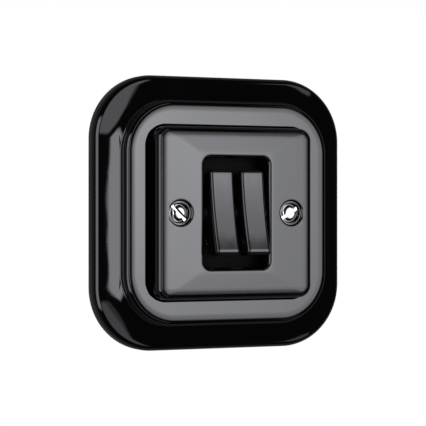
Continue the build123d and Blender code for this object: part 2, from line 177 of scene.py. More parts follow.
end_material(
    tree,
    Base_Color=tone.outputs[2],
    Metallic=1.0,
    Roughness=sheen.outputs[0],
    Normal=relief.outputs[0],
)
dress(
    brass,
    "line_bar",
    "up_terminal",
    "down_terminal",
    "up_contact_bar",
    "down_contact_bar",
    "cover_posts",
)

# Contact buttons: silver alloy rivets, headed cold, so their faces are smooth
# and a little dulled by sulphide.
silver, tree, place = start_material("silver_contact_alloy")
dulling = add(tree, "ShaderNodeTexNoise", {"Vector": place, "Scale": per(1.2), "Detail": 3.0})
tone = add(
    tree,
    "ShaderNodeMix",
    {0: dulling.outputs["Fac"], 6: linear("#B9B3A6"), 7: linear("#F2F0EA")},
    data_type="RGBA",
)
sheen = add(tree, "ShaderNodeMapRange", {"Value": dulling.outputs["Fac"], "To Min": 0.4, "To Max": 0.22})
end_material(tree, Base_Color=tone.outputs[2], Metallic=1.0, Roughness=sheen.outputs[0])
dress(silver, "fixed_contacts", "up_bar_contacts", "down_bar_contacts")

# Pushers: turned from natural polyamide rod, which is milky and a little soft
# to the light, with fine tool marks round it.
polyamide, tree, place = start_material("natural_polyamide")
milk = add(tree, "ShaderNodeTexNoise", {"Vector": place, "Scale": per(3.0), "Detail": 2.0})
turned = add(tree, "ShaderNodeMapping", {"Vector": place, "Scale": (0.1, 1.0, 0.1)})
marks = add(tree, "ShaderNodeTexNoise", {"Vector": turned.outputs[0], "Scale": per(0.25)})
tone = add(
    tree,
    "ShaderNodeMix",
    {0: milk.outputs["Fac"], 6: linear("#D6D0BF"), 7: linear("#EFEBDD")},
    data_type="RGBA",
)
relief = add(
    tree, "ShaderNodeBump", {"Height": marks.outputs["Fac"], "Strength": 0.3, "Distance": 0.02 * MM}
)
end_material(
    tree,
    Base_Color=tone.outputs[2],
    Roughness=0.42,
    IOR=1.53,
    Subsurface_Weight=0.15,
    Subsurface_Scale=1.0 * MM,
    Normal=relief.outputs[0],
)
dress(polyamide, "up_pusher", "down_pusher")

# Bridge: the black moulded cap on the strap that carries the axle and guides
# the pushers. Its matt skin keeps the window around the rockers dark.
black_moulding, tree, place = start_material("black_thermoset_moulding")
speck = add(tree, "ShaderNodeTexNoise", {"Vector": place, "Scale": per(0.4), "Detail": 4.0})
tone = add(
    tree,
    "ShaderNodeMix",
    {0: speck.outputs["Fac"], 6: linear("#050506"), 7: linear("#0E0E0F")},
    data_type="RGBA",
)
relief = add(
    tree, "ShaderNodeBump", {"Height": speck.outputs["Fac"], "Strength": 0.3, "Distance": 0.02 * MM}
)
end_material(
    tree,
    Base_Color=tone.outputs[2],
    Roughness=0.6,
    Specular_IOR_Level=0.12,
    Normal=relief.outputs[0],
)
dress(black_moulding, "switch_bridge")

# Axle: a pin of bright drawn steel, pressed into the cheeks of the bridge, on
# which both rockers turn. Drawing left faint lines along its bright surface.
bright_steel, tree, place = start_material("bright_drawn_steel")
drawn = add(tree, "ShaderNodeMapping", {"Vector": place, "Scale": (0.04, 1.0, 1.0)})
lines = add(tree, "ShaderNodeTexNoise", {"Vector": drawn.outputs[0], "Scale": per(0.2), "Detail": 2.0})
tone = add(
    tree,
    "ShaderNodeMix",
    {0: lines.outputs["Fac"], 6: linear("#BDBFC2"), 7: linear("#DADCDE")},
    data_type="RGBA",
)
sheen = add(tree, "ShaderNodeMapRange", {"Value": lines.outputs["Fac"], "To Min": 0.18, "To Max": 0.3})
end_material(tree, Base_Color=tone.outputs[2], Metallic=1.0, Roughness=sheen.outputs[0])
dress(bright_steel, "rocker_axle")

# Return springs: coiled from drawn steel wire, one under each pusher. Each one
# stands on the floor of its pocket. The real spring shortens as its pusher goes in,
# but this one is built at a single length.
SPRING_WIRE = 0.5
SPRING_TURNS = 3.5
WIRE_SIDES = 12
TURN_STEPS = 48


def start_node_tree(name, *sizes):
    """New geometry tree with a geometry in and out, an input for each size and one for the material."""
    tree = bpy.data.node_groups.new(name, "GeometryNodeTree")
    tree.interface.new_socket("Geometry", in_out="INPUT", socket_type="NodeSocketGeometry")
    tree.interface.new_socket("Geometry", in_out="OUTPUT", socket_type="NodeSocketGeometry")
    for size in sizes:
        tree.interface.new_socket(size, in_out="INPUT", socket_type="NodeSocketFloat")
    tree.interface.new_socket("Material", in_out="INPUT", socket_type="NodeSocketMaterial")
    return tree, tree.nodes.new("NodeGroupInput").outputs


def grow(name, points, tree, values, attributes=None):
    """Plain mesh piece that a geometry tree makes from points, with its inputs set by name."""
    seed = bpy.data.meshes.new(name)
    seed.from_pydata(points, [], [])
    for attribute, rows in (attributes or {}).items():
        column = seed.attributes.new(attribute, "FLOAT_VECTOR", "POINT")
        column.data.foreach_set("vector", [number for row in rows for number in row])
    piece = bpy.data.objects.new(name, seed)
    bpy.context.scene.collection.objects.link(piece)
    modifier = piece.modifiers.new(tree.name, "NODES")
    modifier.node_group = tree
    for socket in tree.interface.items_tree:
        if socket.in_out == "INPUT" and socket.name in values:
            modifier[socket.identifier] = values[socket.name]
    evaluated = piece.evaluated_get(bpy.context.evaluated_depsgraph_get())
    piece.data = bpy.data.meshes.new_from_object(evaluated)
    piece.modifiers.clear()
    return piece


coil_tree, sizes = start_node_tree("coil_spring", "Wire", "Radius", "Rise", "Turns")
helix = add(
    coil_tree,
    "GeometryNodeCurveSpiral",
    {
        "Resolution": TURN_STEPS,
        "Rotations": sizes["Turns"],
        "Start Radius": sizes["Radius"],
        "End Radius": sizes["Radius"],
        "Height": sizes["Rise"],
    },
)
wire_section = add(
    coil_tree,
    "GeometryNodeCurvePrimitiveCircle",
    {"Resolution": WIRE_SIDES, "Radius": sizes["Wire"]},
)
wire = add(
    coil_tree,
    "GeometryNodeCurveToMesh",
    {
        "Curve": helix.outputs["Curve"],
        "Profile Curve": wire_section.outputs["Curve"],
        "Fill Caps": True,
    },
)
forward = add(
    coil_tree,
    "GeometryNodeTransform",
    {"Geometry": wire.outputs["Mesh"], "Rotation": (radians(90), 0, 0)},
)
coils = add(
    coil_tree,
    "GeometryNodeInstanceOnPoints",
    {"Points": sizes["Geometry"], "Instance": forward.outputs["Geometry"]},
)
solid = add(coil_tree, "GeometryNodeRealizeInstances", {"Geometry": coils.outputs["Instances"]})
smooth = add(coil_tree, "GeometryNodeSetShadeSmooth", {"Geometry": solid.outputs["Geometry"]})
finished = add(
    coil_tree,
    "GeometryNodeSetMaterial",
    {"Geometry": smooth.outputs["Geometry"], "Material": sizes["Material"]},
)
add(coil_tree, "NodeGroupOutput", {"Geometry": finished.outputs["Geometry"]})

for side in ("up", "down"):
    low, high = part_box(f"{side}_return_spring")
    middle = (low + high) / 2
    wire_radius = SPRING_WIRE * MM / 2
    foot = Vector((middle.x, high.y - wire_radius, middle.z))
    spring = grow(
        f"{side}_coil_spring",
        [foot],
        coil_tree,
        {
            "Wire": wire_radius,
            "Radius": (high.x - low.x) / 2 - wire_radius,
            "Rise": high.y - low.y - 2 * wire_radius,
            "Turns": SPRING_TURNS,
            "Material": bright_steel,
        },
    )
    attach(spring, "switch_body")
    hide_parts(f"{side}_return_spring")
    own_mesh(spring)

# Rockers: two narrow black mouldings, polished in the mould, with a hollow
# face. Each turns on the axle, open behind on both sides of its hub, and a
# rounded nose inside its lower arm works the pusher.
ROCKER_TILT = radians(11.0)
UPPER_ARM = 13.4
LOWER_ARM = 14.7
FACE_RADIUS = 100.0
FACE_DEPTH = 5.3
END_HEIGHT = 6.0
END_DRAFT = 0.3
ROCKER_EDGE = 1.2
EDGE_STEPS = 6
LEAST_ROUND = 0.05
TIP_STEPS = 6
FACE_STEPS = 16
SIDE_WALL = 1.4
FRONT_WALL = 2.0
HUB_HALF = 3.6
HUB_DROP = 3.4
NOSE_LEVER = 9.0
NOSE_DROP = 1.0
NOSE_RADIUS = 1.5
NOSE_STEPS = 12
AXLE_BORE = 2.1
BORE_STEPS = 32
CUT_MARGIN = 1.0
SHARP_ANGLE = radians(40.0)


def arc(centre, radius, start, end, steps):
    """Points of an arc in a plane, from one angle to another, ends included."""
    turns = [start + (end - start) * step / steps for step in range(steps + 1)]
    return [(centre[0] + radius * cos(turn), centre[1] + radius * sin(turn)) for turn in turns]


def lip(radius, steps):
    """Steps of a quarter round, each given by its distances from the two faces that the round joins."""
    turns = [pi / 2 * step / steps for step in range(steps + 1)]
    return [(radius * (1 - sin(turn)), radius * (1 - cos(turn))) for turn in turns]


def rounded_path(points, steps):
    """Path of straight runs between points (x, y, radius), with its corners rounded."""
    path = [Vector(points[0][:2])]
    for before, corner, after in zip(points, points[1:], points[2:]):
        middle, radius = Vector(corner[:2]), corner[2]
        back = (Vector(before[:2]) - middle).normalized()
        ahead = (Vector(after[:2]) - middle).normalized()
        half = acos(back.dot(ahead)) / 2
        if radius == 0:
            path.append(middle)
            continue
        centre = middle + (back + ahead).normalized() * radius / sin(half)
        first = middle + back * radius / tan(half) - centre
        last = middle + ahead * radius / tan(half) - centre
        sweep = pi - 2 * half
        for step in range(steps + 1):
            share = step / steps
            blend = first * sin((1 - share) * sweep) + last * sin(share * sweep)
            path.append(centre + blend / sin(sweep))
    return path + [Vector(points[-1][:2])]


def loft(shape, rings, closed=False):
    """Skins a row of rings with quads, and returns the rings' vertices."""
    rows = [[shape.verts.new(point) for point in points] for points in rings]
    for row, following in zip(rows, rows[1:] + rows[:1] if closed else rows[1:]):
        for index in range(len(row)):
            shape.faces.new((row[index - 1], row[index], following[index], following[index - 1]))
    return rows


def prism(shape, outline, shift):
    """Closed bar with an outline of points, from there to a shift away."""
    near = [shape.verts.new(point) for point in outline]
    far = [shape.verts.new(point + shift) for point in outline]
    shape.faces.new(near)
    shape.faces.new(list(reversed(far)))
    for index, corner in enumerate(near):
        shape.faces.new((near[index - 1], far[index - 1], far[index], corner))


def as_piece(shape, name, *materials):
    """Object with a finished mesh, its faces turned outwards."""
    bmesh.ops.recalc_face_normals(shape, faces=shape.faces)
    mesh = bpy.data.meshes.new(name)
    shape.to_mesh(mesh)
    shape.free()
    for material in materials:
        mesh.materials.append(material)
    piece = bpy.data.objects.new(name, mesh)
    bpy.context.scene.collection.objects.link(piece)
    return piece


def carve(piece, tool, operation):
    """Adds a tool's shape to a piece or cuts it out, and uses the tool up."""
    modifier = piece.modifiers.new(operation.lower(), "BOOLEAN")
    modifier.operation = operation
    modifier.object = tool
    evaluated = piece.evaluated_get(bpy.context.evaluated_depsgraph_get())
    piece.data = bpy.data.meshes.new_from_object(evaluated)
    piece.modifiers.clear()
    bpy.data.objects.remove(tool)


def keep_flats(piece):
    """Smooth shading that stays flat on flat faces and sharp at square edges."""
    piece.data.shade_smooth()
    piece.data.set_sharp_from_angle(angle=SHARP_ANGLE)
    modifier = piece.modifiers.new("flat faces", "WEIGHTED_NORMAL")
    modifier.keep_sharp = True
    modifier.weight = 100


# Polished plastic: a near-black moulding with a mirror finish that is a little
# uneven over some millimetres, where the wall shrank, and has fine scuffs.
rocker_plastic, tree, place = start_material("polished_black_plastic")
drawn = add(tree, "ShaderNodeMapping", {"Vector": place, "Scale": (1.0, 1.0, 0.3)})
shrinkage = add(
    tree, "ShaderNodeTexNoise", {"Vector": drawn.outputs[0], "Scale": per(4.5), "Detail": 1.0}
)
scuffs = add(tree, "ShaderNodeTexNoise", {"Vector": place, "Scale": per(0.8), "Detail": 5.0})
relief = add(
    tree, "ShaderNodeBump", {"Height": shrinkage.outputs["Fac"], "Strength": 0.7, "Distance": 0.25 * MM}
)
polish = add(tree, "ShaderNodeMapRange", {"Value": scuffs.outputs["Fac"], "To Min": 0.06, "To Max": 0.12})
end_material(
    tree,
    Base_Color=linear("#08080A"),
    Roughness=polish.outputs[0],
    IOR=1.55,
    Coat_Weight=1.0,
    Coat_Roughness=0.03,
    Coat_IOR=1.5,
    Normal=relief.outputs[0],
)


def face_depth(arm):
    """Height of the hollow face above the axle, at a distance along the rocker."""
    return FACE_DEPTH + FACE_RADIUS - sqrt(FACE_RADIUS**2 - arm**2)


def rocker_outline(inset):
    """Side outline of a rocker, with its face and its two ends moved in by an inset."""
    end_slope = END_DRAFT / END_HEIGHT
    arms = [arm - inset * (1 + end_slope) for arm in (UPPER_ARM, LOWER_ARM)]
    reach = [asin(arm / (FACE_RADIUS + inset)) for arm in arms]
    centre = (0.0, FACE_DEPTH + FACE_RADIUS)
    face = arc(centre, FACE_RADIUS + inset, reach[0] - pi / 2, -pi / 2 - reach[1], FACE_STEPS)
    heels = []
    for arm in (UPPER_ARM, LOWER_ARM):
        heel = Vector((arm - END_DRAFT, face_depth(arm) - END_HEIGHT))
        hub = Vector((HUB_HALF, -HUB_DROP))
        heels.append(heel.lerp(hub, inset / (heel.x - hub.x)))
    tips = [(*point, max(ROCKER_EDGE - inset, LEAST_ROUND)) for point in (face[0], face[-1])]
    corners = [
        (HUB_HALF, -HUB_DROP, 0),
        (*heels[0], 0),
        tips[0],
        *[(*point, 0) for point in face[1:-1]],
        tips[1],
        (-heels[1].x, heels[1].y, 0),
        (-HUB_HALF, -HUB_DROP, 0),
    ]
    return rounded_path(corners, TIP_STEPS)


def tilted(outline, axle, across):
    """Points of an outline in a rocker's own plane about its axle, at a place across."""
    turn = Matrix.Rotation(-ROCKER_TILT, 3, "X")
    centre = Vector((across, axle.y, axle.z))
    return [turn @ Vector((0, -out, up)) * MM + centre for up, out in outline]


def cutter(name, outline, axle, start, end):
    """Bar of an outline in a rocker's own plane, across from one side to another."""
    shape = bmesh.new()
    prism(shape, tilted(outline, axle, start), Vector((end - start, 0, 0)))
    return as_piece(shape, name)


pocket_floor = -HUB_DROP - CUT_MARGIN
pocket_top = FACE_DEPTH - FRONT_WALL
upper_end = UPPER_ARM - END_DRAFT - SIDE_WALL
lower_end = END_DRAFT + SIDE_WALL - LOWER_ARM
nose = arc((-NOSE_LEVER, -NOSE_DROP), NOSE_RADIUS, -pi, 0, NOSE_STEPS)
pocket_outlines = (
    [
        (HUB_HALF, pocket_floor),
        (upper_end, pocket_floor),
        (upper_end, pocket_top),
        (HUB_HALF, pocket_top),
    ],
    [
        (lower_end, pocket_floor),
        (-HUB_HALF, pocket_floor),
        (-HUB_HALF, pocket_top),
        (NOSE_RADIUS - NOSE_LEVER, pocket_top),
        *reversed(nose),
        (-NOSE_RADIUS - NOSE_LEVER, pocket_top),
        (lower_end, pocket_top),
    ],
)
bore_outline = arc((0, 0), AXLE_BORE / 2, 0, 2 * pi, BORE_STEPS)[:-1]

for side in ("up", "down"):
    low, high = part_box(f"{side}_rocker")
    pivot = next(joint for joint in frame["joints"] if joint["name"] == f"{side}_rocker_pivot")
    axle = Vector(pivot["pos_m"])
    slices = []
    for end, sign in ((low.x, 1), (high.x, -1)):
        rows = [
            tilted(rocker_outline(inset), axle, end + sign * wide * MM)
            for inset, wide in lip(ROCKER_EDGE, EDGE_STEPS)
        ]
        slices += rows if sign > 0 else reversed(rows)
    shape = bmesh.new()
    rows = loft(shape, slices)
    shape.faces.new(rows[0])
    shape.faces.new(rows[-1])
    rocker = as_piece(shape, f"{side}_rocker_key", rocker_plastic)
    wall, margin = SIDE_WALL * MM, CUT_MARGIN * MM
    for outline in pocket_outlines:
        pocket = cutter("pocket", outline, axle, low.x + wall, high.x - wall)
        carve(rocker, pocket, "DIFFERENCE")
    bore = cutter("bore", bore_outline, axle, low.x - margin, high.x + margin)
    carve(rocker, bore, "DIFFERENCE")
    keep_flats(rocker)
    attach(rocker, f"{side}_rocker")
    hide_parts(f"{side}_rocker")

# Surround frame: stoneware pressed in a mould and glazed black: a sloping rim,
# a raised border and a square opening with a ledge that carries the cover. Its
# back is hollowed for the strap. The cover's screws hold it to the wall.
frame_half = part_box("surround_frame")[1].x / MM
FRAME_CORNER = 21.0
RIM_WIDTH = 8.4
RIM_OUTER_HEIGHT = 4.3
RIM_INNER_HEIGHT = 7.5
RIM_CROWN = 0.1
RIM_REACH = 12.2
RIM_EDGE = 2.8
BORDER_HEIGHT = 11.6
BORDER_CORNER = 17.0
CROWN_WIDTH = 3.8
CROWN_RADIUS = 8.0
CROWN_EDGE = 2.0
BORDER_FOOT = 0.8
OPENING_HALF_WIDTH = 29.8
OPENING_HALF_HEIGHT = 28.6
OPENING_CORNER = 7.0
OPENING_EDGE = 0.3
LEDGE_HEIGHT = 8.0
LEDGE_WIDTH = 3.5
LEDGE_CORNER = 2.0
RECESS_HALF = 38.0
RECESS_CORNER = 16.5
RECESS_DEPTH = 3.5
SLOPE_STEPS = 6
ROUND_STEPS = 10
CORNER_STEPS = 28
SIDE_STEPS = 12


def ring(half_width, half_height, corner, out):
    """Points round a rectangle with round corners, at one level out of the wall or each at its own."""
    arcs = []
    for quarter, (side, end) in enumerate(((1, 1), (-1, 1), (-1, -1), (1, -1))):
        centre = (side * (half_width - corner), end * (half_height - corner))
        turn = quarter * pi / 2
        arcs.append(arc(centre, corner, turn, turn + pi / 2, CORNER_STEPS))
    points = []
    for quarter in range(4):
        start, end = Vector(arcs[quarter][-1]), Vector(arcs[(quarter + 1) % 4][0])
        points += arcs[quarter]
        points += [start.lerp(end, step / SIDE_STEPS) for step in range(1, SIDE_STEPS)]
    levels = out if isinstance(out, list) else [out] * len(points)
    return [Vector((x, -level, up)) * MM for (x, up), level in zip(points, levels)]


def rim_height(inset):
    """Height of the sloping rim at a distance in from the frame's outer edge."""
    slope = (RIM_INNER_HEIGHT - RIM_OUTER_HEIGHT) / RIM_WIDTH
    share = inset / RIM_REACH
    return RIM_OUTER_HEIGHT + slope * inset + 4 * RIM_CROWN * share * (1 - share)


def crowned(half, foot, front, lean=0.0):
    """Shoulder from a wall, which may lean, up to a flat front: a round edge and then a flatter crown."""
    inner_radius = CROWN_RADIUS - CROWN_EDGE
    edge_turn = acos((CROWN_WIDTH - CROWN_EDGE) / inner_radius)
    edge_level = front - CROWN_RADIUS + inner_radius * sin(edge_turn)
    edge_half = half + (foot - edge_level) * tan(lean) - CROWN_EDGE / cos(lean)
    crown_centre = (edge_half + CROWN_EDGE - CROWN_WIDTH, front - CROWN_RADIUS)
    edge = arc((edge_half, edge_level), CROWN_EDGE, lean, edge_turn, ROUND_STEPS)
    return edge + arc(crown_centre, CROWN_RADIUS, edge_turn, pi / 2, ROUND_STEPS)[1:]


def foot_height(point):
    """Height of the rim where the border stands on it, at a point of the border's outline."""
    across, up = abs(point.x) / MM, abs(point.z) / MM
    centre = frame_half - FRAME_CORNER
    if min(across, up) < centre:
        return rim_height(frame_half - max(across, up))
    return rim_height(FRAME_CORNER - hypot(across - centre, up - centre))


# Black glaze: glass fused on stoneware. It mirrors its surroundings, and as it
# flowed before it set, its surface rolls gently over two centimetres or so.
def glaze(name, fall=None, blend=0.0):
    """Black glaze, which can also show a front that falls a little from its middle to its edges.

    A fall gives, for an axis, how far from the middle it starts, in millimetres, and its slope. The
    blend is how far the falls run into one another, in millimetres of depth.
    """
    material, tree, place = start_material(name)
    roll = add(tree, "ShaderNodeTexNoise", {"Vector": place, "Scale": per(24.0), "Detail": 1.0})
    pits = add(tree, "ShaderNodeTexNoise", {"Vector": place, "Scale": per(1.6), "Detail": 2.0})
    pooling = add(
        tree, "ShaderNodeBump", {"Height": roll.outputs["Fac"], "Strength": 0.5, "Distance": 0.5 * MM}
    )
    if fall:
        places = add(tree, "ShaderNodeSeparateXYZ", {"Vector": place}).outputs
        deepest = 0.0
        for axis, (start, slope) in fall.items():
            away = add(tree, "ShaderNodeMath", {0: places[axis]}, operation="ABSOLUTE").outputs[0]
            depth = add(
                tree,
                "ShaderNodeMath",
                {0: away, 1: slope, 2: -slope * start * MM},
                operation="MULTIPLY_ADD",
            )
            deepest = add(
                tree,
                "ShaderNodeMath",
                {0: depth.outputs[0], 1: deepest, 2: blend * MM},
                operation="SMOOTH_MAX",
            ).outputs[0]
        sloping = add(
            tree, "ShaderNodeBump", {"Height": deepest, "Strength": 1.0, "Distance": 1.0}, invert=True
        )
        tree.links.new(sloping.outputs[0], pooling.inputs["Normal"])
    relief = add(
        tree,
        "ShaderNodeBump",
        {
            "Height": pits.outputs["Fac"],
            "Strength": 0.1,
            "Distance": 0.01 * MM,
            "Normal": pooling.outputs[0],
        },
    )
    body_tone = add(
        tree,
        "ShaderNodeMix",
        {0: roll.outputs["Fac"], 6: linear("#020203"), 7: linear("#050506")},
        data_type="RGBA",
    )
    end_material(
        tree,
        Base_Color=body_tone.outputs[2],
        Roughness=0.03,
        IOR=1.6,
        Coat_Weight=1.0,
        Coat_Roughness=0.02,
        Coat_IOR=1.5,
        Normal=relief.outputs[0],
    )
    return material


black_glaze = glaze("black_glazed_stoneware")

# Bare stoneware: the dry, dark body where the glaze was wiped off, on the ledge
# and behind it, so that the frame didn't stick in the kiln.
bare_stoneware, tree, place = start_material("bare_black_stoneware")
grit = add(tree, "ShaderNodeTexNoise", {"Vector": place, "Scale": per(0.5), "Detail": 4.0})
tone = add(
    tree,
    "ShaderNodeMix",
    {0: grit.outputs["Fac"], 6: linear("#070707"), 7: linear("#121211")},
    data_type="RGBA",
)
relief = add(
    tree, "ShaderNodeBump", {"Height": grit.outputs["Fac"], "Strength": 0.4, "Distance": 0.04 * MM}
)
end_material(
    tree,
    Base_Color=tone.outputs[2],
    Roughness=0.8,
    Specular_IOR_Level=0.1,
    Normal=relief.outputs[0],
)

# The rim is ringed from its outer edge in, then come the hollow at the border's
# foot, the border's edge and crown, and the opening down to its ledge.
border_half = frame_half - RIM_WIDTH
rim_clear = RIM_WIDTH - BORDER_FOOT
insets = [rim_clear * step / SLOPE_STEPS for step in range(2, SLOPE_STEPS + 1)]
rim_section = rounded_path(
    [(0, 0, 0), (0, RIM_OUTER_HEIGHT, RIM_EDGE), *[(inset, rim_height(inset), 0) for inset in insets]],
    ROUND_STEPS,
)
rings = [
    ring(frame_half - inset, frame_half - inset, FRAME_CORNER - inset, out) for inset, out in rim_section
]
foot_heights = [foot_height(point) for point in ring(border_half, border_half, BORDER_CORNER, 0)]
rim_fall = (RIM_OUTER_HEIGHT - RIM_INNER_HEIGHT) / RIM_WIDTH
foot_section = rounded_path([(1, rim_fall, 0), (0, 0, BORDER_FOOT), (0, 1, 0)], ROUND_STEPS)[1:-1]
for out_of_foot, rise in foot_section:
    half = border_half + out_of_foot
    levels = [height + rise for height in foot_heights]
    rings.append(ring(half, half, BORDER_CORNER + out_of_foot, levels))
for half, out in crowned(border_half, 0, BORDER_HEIGHT):
    rings.append(ring(half, half, BORDER_CORNER + half - border_half, out))
for wide, deep in lip(OPENING_EDGE, ROUND_STEPS):
    opening = [size + wide for size in (OPENING_HALF_WIDTH, OPENING_HALF_HEIGHT, OPENING_CORNER)]
    rings.append(ring(*opening, BORDER_HEIGHT - deep))
rings.append(ring(OPENING_HALF_WIDTH, OPENING_HALF_HEIGHT, OPENING_CORNER, LEDGE_HEIGHT))
glazed_rings = len(rings)
ledge_halves = (OPENING_HALF_WIDTH - LEDGE_WIDTH, OPENING_HALF_HEIGHT - LEDGE_WIDTH)
rings += [ring(*ledge_halves, LEDGE_CORNER, out) for out in (LEDGE_HEIGHT, RECESS_DEPTH)]
rings += [ring(RECESS_HALF, RECESS_HALF, RECESS_CORNER, out) for out in (RECESS_DEPTH, 0)]
shape = bmesh.new()
loft(shape, rings, closed=True)
shape.faces.ensure_lookup_table()
for face in shape.faces[(glazed_rings - 1) * len(rings[0]) :]:
    face.material_index = 1
glazed_frame = as_piece(shape, "glazed_frame", black_glaze, bare_stoneware)
keep_flats(glazed_frame)
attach(glazed_frame, "switch_body")
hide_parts("surround_frame")

# Cover plate: the square cap in the frame's opening, of the same stoneware and
# glaze, hollow behind. Its window frames the rockers, and its two screw wells
# go on as bosses behind the front, each with a rib to the wall.
cover_low, cover_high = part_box("cover_plate")
cover_half = cover_high.x / MM
cover_front = -cover_low.y / MM
COVER_CORNER = 4.5
COVER_DRAFT = radians(3.0)
COVER_WALL = 3.8
FRONT_FALL = {"X": (13.0, 0.077), "Z": (19.5, 0.125)}
FALL_BLEND = 0.15
FRONT_THICKNESS = 4.0
HOLLOW_CORNER = 2.0
WINDOW_HALF_WIDTH = 11.5
WINDOW_CLEARANCE = 1.8
WINDOW_CORNER = 2.2
WINDOW_LIP = 1.5
SCREW_PLACE = 20.0
WELL_RADIUS = 3.6
WELL_DEPTH = 2.4
WELL_LIP = 1.2
WELL_STEPS = 64
BOSS_RADIUS = 4.3
BOSS_FOOT = 9.3
RIB_HALF = 2.2
SCREW_HOLE_RADIUS = 1.7


def fill(shape, *loops):
    """Closes a flat face that lies between loops of vertices."""
    edges = [shape.edges.get((row[index - 1], row[index])) for row in loops for index in range(len(row))]
    bmesh.ops.triangle_fill(shape, use_beauty=True, edges=edges)


window_half_height = hypot(LOWER_ARM, face_depth(LOWER_ARM)) + WINDOW_CLEARANCE
hollow_half = cover_half - COVER_WALL
hollow_top = cover_front - FRONT_THICKNESS
section = [(cover_half, LEDGE_HEIGHT), *crowned(cover_half, LEDGE_HEIGHT, cover_front, COVER_DRAFT)]
corner_centre = cover_half - COVER_CORNER
rings = [ring(hollow_half, hollow_half, HOLLOW_CORNER, out) for out in (hollow_top, LEDGE_HEIGHT)]
rings += [ring(half, half, half - corner_centre, out) for half, out in section]
shape = bmesh.new()
cap = loft(shape, rings)
window_rings = [
    ring(WINDOW_HALF_WIDTH + wide, window_half_height + wide, WINDOW_CORNER + wide, cover_front - deep)
    for wide, deep in lip(WINDOW_LIP, ROUND_STEPS)
]
window_rings.append(ring(WINDOW_HALF_WIDTH, window_half_height, WINDOW_CORNER, hollow_top))
window = loft(shape, window_rings)
wells = []
for place_across in (-SCREW_PLACE, SCREW_PLACE):
    steps = lip(WELL_LIP, ROUND_STEPS) + [(0, WELL_DEPTH)]
    well_rings = [
        [
            Vector((x, deep - cover_front, up)) * MM
            for x, up in arc((place_across, 0), WELL_RADIUS + wide, 0, 2 * pi, WELL_STEPS)[:-1]
        ]
        for wide, deep in steps
    ]
    well = loft(shape, well_rings)
    shape.faces.new(well[-1])
    wells.append(well[0])
fill(shape, cap[-1], window[0], *wells)
fill(shape, cap[0], window[-1])
cover_glaze = glaze("black_glazed_cover", FRONT_FALL, FALL_BLEND)
glazed_cover = as_piece(shape, "glazed_cover", cover_glaze)

bosses = bmesh.new()
holes = bmesh.new()
boss_turn = asin(RIB_HALF / BOSS_RADIUS)
rib_end = hollow_half + COVER_WALL / 2
boss_embed = (hollow_top + cover_front - WELL_DEPTH) / 2
for side in (-1, 1):
    keyhole = arc((SCREW_PLACE, 0), BOSS_RADIUS, boss_turn, 2 * pi - boss_turn, WELL_STEPS)
    keyhole += [(rib_end, -RIB_HALF), (rib_end, RIB_HALF)]
    outline = [Vector((side * x, -BOSS_FOOT, up)) * MM for x, up in keyhole]
    prism(bosses, outline, Vector((0, BOSS_FOOT - boss_embed, 0)) * MM)
    hole = arc((side * SCREW_PLACE, 0), SCREW_HOLE_RADIUS, 0, 2 * pi, WELL_STEPS)[:-1]
    outline = [Vector((x, CUT_MARGIN - BOSS_FOOT, up)) * MM for x, up in hole]
    prism(holes, outline, Vector((0, BOSS_FOOT - cover_front - CUT_MARGIN, 0)) * MM)
carve(glazed_cover, as_piece(bosses, "bosses"), "UNION")
carve(glazed_cover, as_piece(holes, "holes"), "DIFFERENCE")
keep_flats(glazed_cover)
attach(glazed_cover, "switch_body")
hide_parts("cover_plate")

# Screws: turned with a domed head, slotted with a saw and threaded by rolling.
# Two polished ones hold the cover, four clamp bridge, strap and base together,
# and three hold the wires.
SLOT_WIDTH = 1.1
SLOT_DEPTH = 1.2
THREAD_PITCH = 0.5
THREAD_DEPTH = 0.25
COVER_SLOT_TURNS = (46.0, -32.0)
BASE_HEAD_RADIUS = 2.6
BASE_SCREW_LENGTH = 11.0
TERMINAL_HEAD_RADIUS = 3.0
TERMINAL_SCREW_LENGTH = 6.5
PLAIN_RIM = 1.2
PLAIN_DOME = 0.6
PLAIN_SHANK_RADIUS = 1.45
HEAD_STEPS = 64
DOME_STEPS = 16
TURNING_RADIUS = 0.001
WELD_DISTANCE = 0.01

screw_tree, sizes = start_node_tree(
    "slotted_screw",
    "Head Radius",
    "Rim",
    "Dome",
    "Shank Radius",
    "Shank Length",
    "Slot Width",
    "Slot Depth",
    "Thread Pitch",
    "Thread Depth",
)


def outline_point(radius=0.0, level=0.0):
    """Point of the screw's half outline, at a radius and a level above the seat."""
    fallen = add(screw_tree, "ShaderNodeMath", {0: level, 1: -1.0}, operation="MULTIPLY")
    return add(screw_tree, "ShaderNodeCombineXYZ", {"X": radius, "Y": fallen.outputs[0]}).outputs[0]


# Numbers worked out from the screw's sizes, or from earlier ones of this list.
# The shank has a point at each crest of the thread and one between two crests.
sums = [
    ("Head Top", "ADD", "Rim", "Dome"),
    ("Dome Middle", "MULTIPLY_ADD", "Dome", 0.75, "Rim"),
    ("Dome Middle Radius", "MULTIPLY", "Head Radius", 0.5),
    ("Tip", "MULTIPLY", "Shank Length", -1.0),
    ("Turns", "DIVIDE", "Shank Length", "Thread Pitch"),
    ("Whole Turns", "ROUND", "Turns"),
    ("Thread Points", "MULTIPLY_ADD", "Whole Turns", 2.0, 1.0),
    ("Between Crests", "MODULO", "Index", 2.0),
    ("Root", "MULTIPLY", "Thread Depth", -1.0),
    ("Groove", "MULTIPLY", "Between Crests", "Root"),
    ("Saw Length", "MULTIPLY", "Head Radius", 3.0),
    ("Saw Height", "MULTIPLY", "Slot Depth", 2.0),
]
numbers = {socket.name: socket for socket in sizes}
numbers["Index"] = add(screw_tree, "GeometryNodeInputIndex").outputs[0]
for name, operation, *terms in sums:
    values = {place: numbers.get(term, term) for place, term in enumerate(terms)}
    numbers[name] = add(screw_tree, "ShaderNodeMath", values, operation=operation).outputs[0]
head_radius, shank_radius = numbers["Head Radius"], numbers["Shank Radius"]
